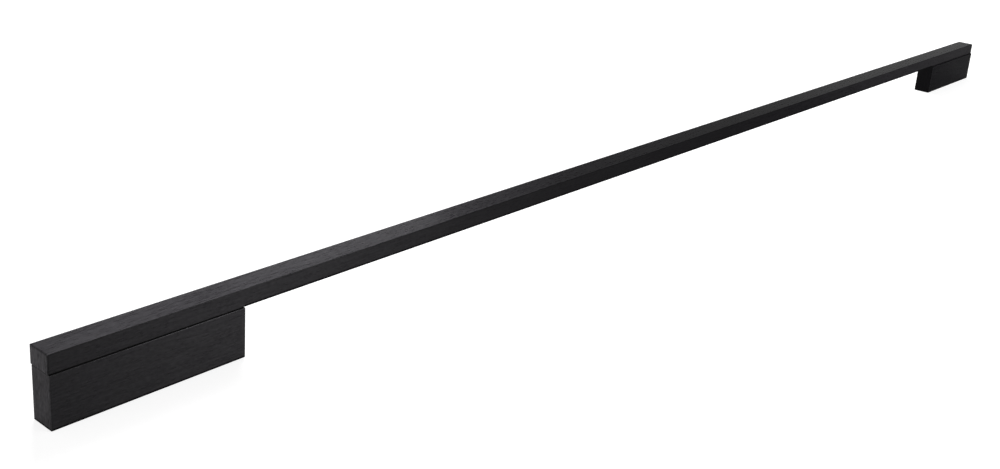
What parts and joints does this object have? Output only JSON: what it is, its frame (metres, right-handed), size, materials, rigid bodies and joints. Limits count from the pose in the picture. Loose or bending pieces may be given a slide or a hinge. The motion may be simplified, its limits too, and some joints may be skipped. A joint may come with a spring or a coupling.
{
  "type": "cabinet pull",
  "caption": "Long slim straight cabinet pull: a flat bar carried at each end by a long block foot in line with it, screwed together from below, in black brushed aluminium.",
  "frame": {"origin": "midway between the two door holes, on the face of the door, which is the plane of the feet's undersides", "axes": "+X along the bar towards the right foot, +Y across the bar to its back, +Z away from the door"},
  "size_m": [1.1, 0.0158, 0.038],
  "materials": {
    "black_aluminium": "brushed along the bar and black anodised, satin",
    "screw_steel": "zinc plated steel, dull"
  },
  "bodies": {
    "root": {"bar": "black_aluminium", "left_foot": "black_aluminium", "right_foot": "black_aluminium", "left_outer_screw": "screw_steel", "left_inner_screw": "screw_steel", "right_inner_screw": "screw_steel", "right_outer_screw": "screw_steel"}
  },
  "joints": []
}
